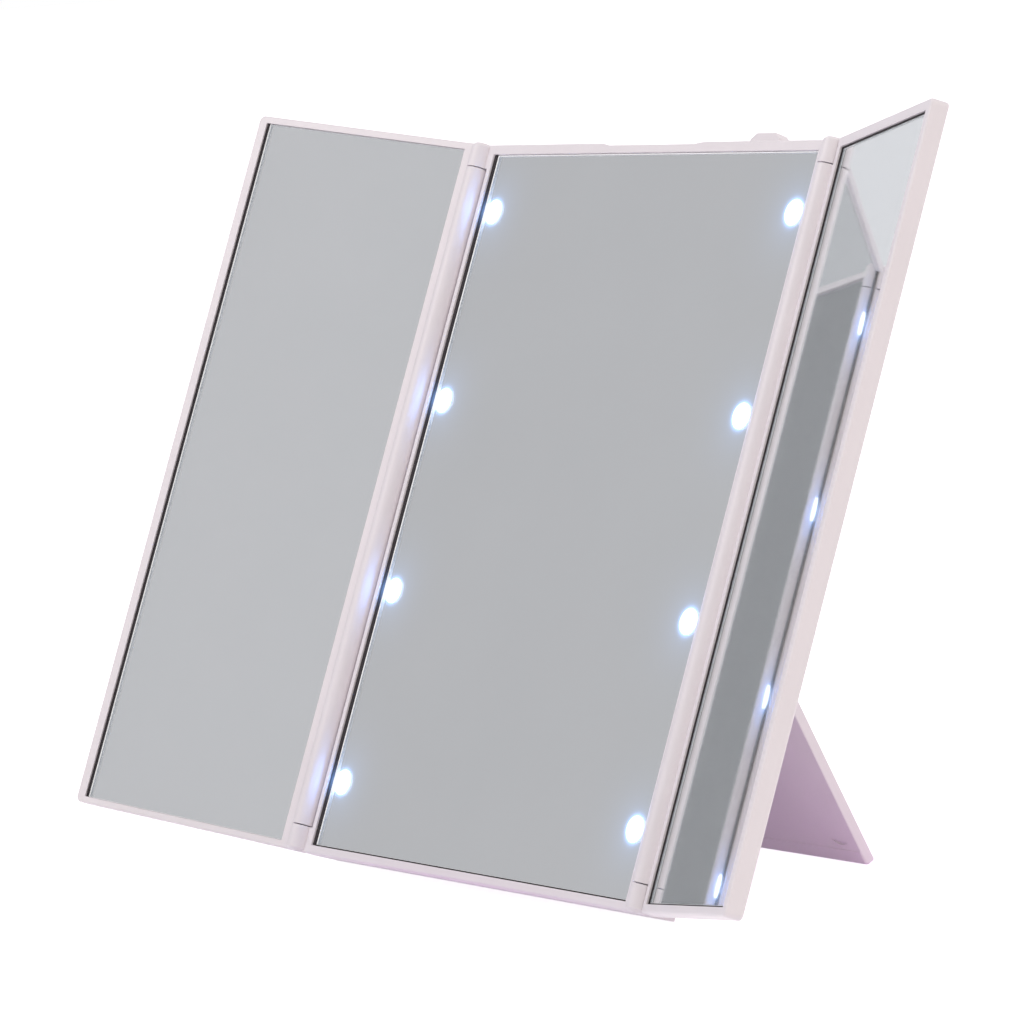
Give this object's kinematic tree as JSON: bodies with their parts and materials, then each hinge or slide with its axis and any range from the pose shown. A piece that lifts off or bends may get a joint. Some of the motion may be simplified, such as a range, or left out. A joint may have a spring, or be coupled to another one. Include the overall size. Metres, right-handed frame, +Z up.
{
  "type": "trifold vanity mirror",
  "caption": "Folding make-up mirror: a lit centre mirror leaning back on a kickstand, with a hinged mirror wing on each side and a slide switch on top.",
  "frame": {"origin": "middle of the bounding box in X and Y, on the surface that the mirror stands on", "axes": "+X across the mirrors to the viewer's right, +Y back towards the kickstand, +Z up; the mirrors face -Y and lean back"},
  "size_m": [0.2864, 0.112, 0.1895],
  "materials": {
    "white_plastic": "fine satin moulded ABS",
    "mirror": "silvered on the back",
    "foam_tape": "closed-cell foam, matt",
    "light_guide": "milky, lit from behind",
    "lamp_chip": "white case with a yellow phosphor face",
    "circuit_board": "solder mask",
    "resistor": "black chip resistor",
    "switch_case": "black",
    "cell_case": "plain dark blue wrap",
    "contact_steel": "nickel-plated",
    "pin_steel": "ground",
    "screw_steel": "zinc-plated",
    "wire_red": "PVC",
    "wire_black": "PVC"
  },
  "bodies": {
    "centre": {"battery_cell_1": "cell_case", "battery_cell_2": "cell_case", "battery_cell_3": "cell_case", "battery_cell_4": "cell_case", "case_screws": "screw_steel", "centre_back_cover": "white_plastic", "centre_frame": "white_plastic", "centre_mirror": "mirror", "centre_mirror_tape": "foam_tape", "contact_spring_1": "contact_steel", "contact_spring_2": "contact_steel", "contact_spring_3": "contact_steel", "contact_spring_4": "contact_steel", "end_plate_minus": "contact_steel", "end_plate_plus": "contact_steel", "led_board_left": "circuit_board", "led_board_right": "circuit_board", "led_chip_left_1": "lamp_chip", "led_chip_left_2": "lamp_chip", "led_chip_left_3": "lamp_chip", "led_chip_left_4": "lamp_chip", "led_chip_right_1": "lamp_chip", "led_chip_right_2": "lamp_chip", "led_chip_right_3": "lamp_chip", "led_chip_right_4": "lamp_chip", "led_resistor_left": "resistor", "led_resistor_right": "resistor", "left_hinge_pin_lower": "pin_steel", "left_hinge_pin_upper": "pin_steel", "light_guide_left": "light_guide", "light_guide_right": "light_guide", "link_plate_1": "contact_steel", "link_plate_2": "contact_steel", "link_plate_3": "contact_steel", "right_hinge_pin_lower": "pin_steel", "right_hinge_pin_upper": "pin_steel", "stand_pin_left": "pin_steel", "stand_pin_right": "pin_steel", "switch_case": "switch_case", "wire_across_minus": "wire_black", "wire_across_plus": "wire_red", "wire_battery_minus": "wire_black", "wire_battery_plus": "wire_red", "wire_switched": "wire_red"},
    "left_wing": {"left_wing_mirror": "mirror", "left_wing_tape": "foam_tape", "left_wing_tray": "white_plastic"},
    "right_wing": {"right_wing_mirror": "mirror", "right_wing_tape": "foam_tape", "right_wing_tray": "white_plastic"},
    "stand": {"kickstand": "white_plastic"},
    "power_switch": {"power_knob": "white_plastic", "switch_lever": "switch_case"},
    "battery_door": {"battery_door": "white_plastic"}
  },
  "joints": [
    {"name": "left_wing_hinge", "type": "hinge", "parent": "centre", "child": "left_wing", "pos_m": [-0.07351, -0.03052, 0.00617], "axis": [0, 0.3882, 0.9216], "range_deg": [-21.67, 158.33]},
    {"name": "right_wing_hinge", "type": "hinge", "parent": "centre", "child": "right_wing", "pos_m": [0.07369, -0.03052, 0.00617], "axis": [0, -0.3882, -0.9216], "range_deg": [-22.12, 157.88]},
    {"name": "stand_hinge", "type": "hinge", "parent": "centre", "child": "stand", "pos_m": [0.00009, 0.0167, 0.07956], "axis": [-1, 0, 0], "range_deg": [0, 48.5]},
    {"name": "power_switch_slide", "type": "slide", "parent": "centre", "child": "power_switch", "axis": [-1, 0, 0], "range_m": [0, 0.003]},
    {"name": "battery_door_slide", "type": "slide", "parent": "centre", "child": "battery_door", "axis": [0, 0.3882, 0.9216], "range_m": [0, 0.055]}
  ]
}
